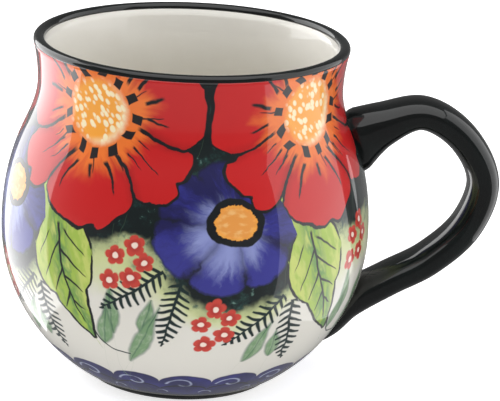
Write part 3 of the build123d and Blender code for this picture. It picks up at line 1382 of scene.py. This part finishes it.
@dataclass
class Handle:
    """The pulled strap handle, from the neck round the loop to its tail on the lower belly."""

    bowl: Bowl
    reach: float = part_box("handle")[1].x / MM
    crest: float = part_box("handle")[1].z / MM
    thickness: float = 8.0
    width: float = 13.6
    root_width: float = 15.0
    upper_size: float = 20.5
    upper_flare: float = 24.0
    lower_size: float = 11.0
    lower_flare: float = 35.0
    upper_drop: float = 9.6
    upper_end: float = 38.1
    tail_height: float = 9.5
    tail_end: float = 26.4
    joint_reach: float = 8.4
    loop: tuple[tuple[float, float], ...] = (
        (0.43, 0.0), (0.79, 0.10), (1.0, 0.29), (0.88, 0.49), (0.56, 0.645))
    pool: float = 2.2
    pool_depth: float = 0.9
    corners: float = 2.35
    pinch: float = 0.24
    sides: int = 56
    per_span: int = 14

    def knots(self) -> list[Vector]:
        """The centre line's knots in the handle's plane, as in the CAD model.

        Returns:
            The knots, from the upper end to the tail.
        """
        crest = self.crest - self.thickness / 2
        belly = self.bowl.belly_radius
        out = self.reach - self.thickness / 2 - belly
        drop = crest - self.tail_height
        split = crest - self.upper_drop / 3
        upper = [(self.upper_end, crest - self.upper_drop),
                 (self.bowl.radius_at(split) + self.joint_reach, split)]
        loop = [(belly + out * a, crest - drop * b) for a, b in self.loop]
        rises = ((15.6, self.joint_reach), (9.4, 0.6), (4.2, -2.2))
        tail = [(self.bowl.radius_at(self.tail_height + rise) + off, self.tail_height + rise)
                for rise, off in rises]
        return [Vector((x, 0, z)) for x, z in upper + loop + tail + [(self.tail_end, self.tail_height)]]

    def route(self) -> list[Vector]:
        """Points of the smooth centre line.

        Returns:
            The points, closer together than the knots.
        """
        knots = self.knots()
        ends = [knots[0] * 2 - knots[1], *knots, knots[-1] * 2 - knots[-2]]
        points: list[Vector] = []
        for before, start, end, after in zip(ends, ends[1:], ends[2:], ends[3:]):
            span = (end - start).length
            out = (end - before) * (span / ((end - start).length + (start - before).length) / 3)
            back = (after - start) * (span / ((end - start).length + (after - end).length) / 3)
            points += bezier(start, start + out, end - back, end, self.per_span)[:-1]
        return points + [knots[-1]]

    def build(self, finishes: Finishes) -> None:
        """Sweeps the strap along its centre line by extruding its section ring by ring.

        Args:
            finishes: The mug's materials.
        """
        route = self.route()
        lengths = [0.0]
        for start, end in zip(route, route[1:]):
            lengths.append(lengths[-1] + (end - start).length)
        shape = bmesh.new()
        ring = bmesh.ops.create_circle(shape, cap_ends=True, segments=self.sides, radius=1.0)["verts"]
        ring = sorted(ring, key=lambda vert: math.atan2(vert.co.y, vert.co.x))
        unit = [vert.co.copy() for vert in ring]
        edges = [shape.edges.get((a, b)) for a, b in zip(ring, ring[1:] + ring[:1])]
        self._set_ring(ring, unit, route, lengths, 0)
        for index in range(1, len(route)):
            grown = bmesh.ops.extrude_edge_only(shape, edges=edges)["geom"]
            new = [item for item in grown if isinstance(item, bmesh.types.BMVert)]
            ring = [next(edge.other_vert(old) for edge in old.link_edges if edge.other_vert(old) in new)
                    for old in ring]
            edges = [shape.edges.get((a, b)) for a, b in zip(ring, ring[1:] + ring[:1])]
            self._set_ring(ring, unit, route, lengths, index)
        shape.faces.new(ring)
        self._pool_glaze(shape)
        bmesh.ops.recalc_face_normals(shape, faces=shape.faces)
        piece = Piece("strap_handle", shape, finishes.dark)
        piece.stand_for("dark_green_glaze", "handle", "upper_handle_joint", "lower_handle_joint")

    def _set_ring(self, ring: Sequence[bmesh.types.BMVert], unit: Sequence[Vector], route: Sequence[Vector],
                  lengths: Sequence[float], index: int) -> None:
        """Lays one ring of the strap square to the centre line, with a rounded, flattened section.

        Args:
            ring: The ring's vertices, in order.
            unit: Their places on a circle of radius one.
            route: Points of the centre line.
            lengths: How far along the centre line each point is.
            index: The point that this ring goes round.
        """
        before, after = route[max(0, index - 1)], route[min(len(route) - 1, index + 1)]
        along = (after - before).normalized()
        outward = Vector((-along.z, 0, along.x))
        near_upper = max(0.0, 1 - lengths[index] / self.upper_flare) ** 2
        near_lower = max(0.0, 1 - (lengths[-1] - lengths[index]) / self.lower_flare) ** 2
        thick = self.thickness + (self.upper_size - self.thickness) * near_upper
        thick += (self.lower_size - self.thickness) * near_lower
        wide = self.width + (self.root_width - self.width) * (near_upper + near_lower)
        for vert, corner in zip(ring, unit):
            across = math.copysign(abs(corner.x) ** (2 / self.corners), corner.x)
            up = math.copysign(abs(corner.y) ** (2 / self.corners), corner.y)
            pinch = 1 - self.pinch * near_upper * max(0.0, -up)
            vert.co = route[index] + Vector((0, across * wide / 2 * pinch, 0)) + outward * (up * thick / 2)

    def _pool_glaze(self, shape: bmesh.types.BMesh) -> None:
        """Lets the strap spread a little just above the bowl, where the glaze pools in the joint.

        Args:
            shape: The strap's bmesh.
        """
        shape.normal_update()
        for vert in shape.verts:
            gap = vert.co.xy.length - self.bowl.radius_at(min(max(vert.co.z, 3.0), self.bowl.lip_seat))
            if gap < self.pool:
                vert.co += vert.normal * self.pool_depth * (1 - max(gap, 0.0) / self.pool) ** 2


# Studio


@dataclass(frozen=True)
class Softbox:
    """A rectangular studio light that looks at the mug."""

    name: str
    azimuth: float
    elevation: float
    distance: float
    width: float
    height: float
    watts: float

    def build(self, target: Vector) -> None:
        """Hangs the light.

        Args:
            target: The point that it faces.
        """
        light = bpy.data.lights.new(self.name, "AREA")
        light.shape = "RECTANGLE"
        light.size, light.size_y, light.energy = self.width, self.height, self.watts
        lamp = add_object(self.name, light)
        a, e = math.radians(self.azimuth), math.radians(self.elevation)
        towards = Vector((math.cos(a) * math.cos(e), math.sin(a) * math.cos(e), math.sin(e)))
        lamp.location = target + towards * self.distance
        lamp.rotation_euler = towards.to_track_quat("Z", "Y").to_euler()


def seen_directly(tree: bpy.types.NodeTree, lighting: Number, seen: float) -> Value:
    """A brightness with one value as light on the mug and another where the stage itself is seen."""
    path = tree.nodes.new("ShaderNodeLightPath")
    return Value(tree, path.outputs["Is Camera Ray"]) * (seen - lighting) + lighting


@dataclass
class Studio:
    """The pale floor, the lights and the camera."""

    azimuth: float = -4.0
    elevation: float = 17.87
    distance: float = 0.56
    lens: float = 159.6
    roll: float = 2.75
    aim_right: float = 16.09 * MM
    aim_height: float = 45.2 * MM
    room_light: float = 0.13
    table_light: float = 0.24
    floor_glow: float = 0.3
    floor_seen: float = 0.75
    softboxes: tuple[Softbox, ...] = (
        Softbox("left_softbox", 148.0, 3.0, 0.75, 0.85, 1.5, 10.5),
        Softbox("right_softbox", 3.0, 3.0, 0.75, 1.15, 1.5, 6.4),
        Softbox("top_softbox", -95.0, 76.0, 0.9, 1.6, 1.4, 9.6),
    )

    def build(self) -> None:
        """Builds the floor, the lights, the surrounding light and the camera."""
        self._floor()
        target = Vector((0, 0, self.aim_height))
        for softbox in self.softboxes:
            softbox.build(target)
        world = bpy.data.worlds.new("studio")
        bpy.context.scene.world = world
        world.use_nodes = True
        background = world.node_tree.nodes["Background"]
        background.inputs["Color"].default_value = (1.0, 1.0, 1.0, 1.0)
        direction = world.node_tree.nodes.new("ShaderNodeTexCoord").outputs["Generated"]
        _, _, upward = split_vector(world.node_tree, direction)
        light = upward.rise(0.0, -0.03, self.room_light, self.table_light)
        seen_directly(world.node_tree, light, 1.0).feed(background.inputs["Strength"])
        bpy.context.scene.view_settings.view_transform = "Standard"
        self._camera()

    def _floor(self) -> None:
        """A wide pale floor, which glows a little and which the glazes don't mirror."""
        shape = bmesh.new()
        bmesh.ops.create_grid(shape, x_segments=8, y_segments=8, size=6.0)
        material = bpy.data.materials.new("pale_floor")
        material.use_nodes = True
        shader = material.node_tree.nodes["Principled BSDF"]
        for name, value in (("Base Color", Pigment.FLOOR.linear), ("Emission Color", Pigment.FLOOR.linear),
                            ("Roughness", 0.9), ("Specular IOR Level", 0.1)):
            shader.inputs[name].default_value = value
        glow = seen_directly(material.node_tree, self.floor_glow, self.floor_seen)
        glow.feed(shader.inputs["Emission Strength"])
        floor = add_mesh("floor", shape, material)
        floor.visible_glossy = False

    def _camera(self) -> None:
        """The camera, a little above the lip and leaning slightly."""
        azimuth, elevation, roll = (math.radians(a) for a in (self.azimuth, self.elevation, self.roll))
        turn = Matrix.Rotation(azimuth, 3, "Z")
        level = turn @ Vector((1, 0, 0))
        back = turn @ Vector((0, -math.cos(elevation), math.sin(elevation)))
        rise = turn @ Vector((0, math.sin(elevation), math.cos(elevation)))
        right = level * math.cos(roll) + rise * math.sin(roll)
        up = rise * math.cos(roll) - level * math.sin(roll)
        target = level * self.aim_right + Vector((0, 0, self.aim_height))
        data = bpy.data.cameras.new("camera")
        data.lens = self.lens
        data.sensor_fit = "HORIZONTAL"
        data.sensor_width = 36.0
        data.clip_start = 0.01
        camera = add_object("camera", data)
        camera.matrix_world = Matrix((right, up, back)).transposed().to_4x4()
        camera.location = target + back * self.distance
        bpy.context.scene.camera = camera


def write_sizes() -> None:
    """Brings the view layer up to date."""
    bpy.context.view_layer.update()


def main() -> None:
    """Builds the mug, dresses it and sets up the studio."""
    logging.basicConfig(level=logging.INFO, format="%(name)s: %(message)s")
    finishes = Finishes()
    bowl = Bowl()
    bowl.build(finishes)
    Handle(bowl).build(finishes)
    Studio().build()
    write_sizes()


if __name__ == "__main__":
    main()
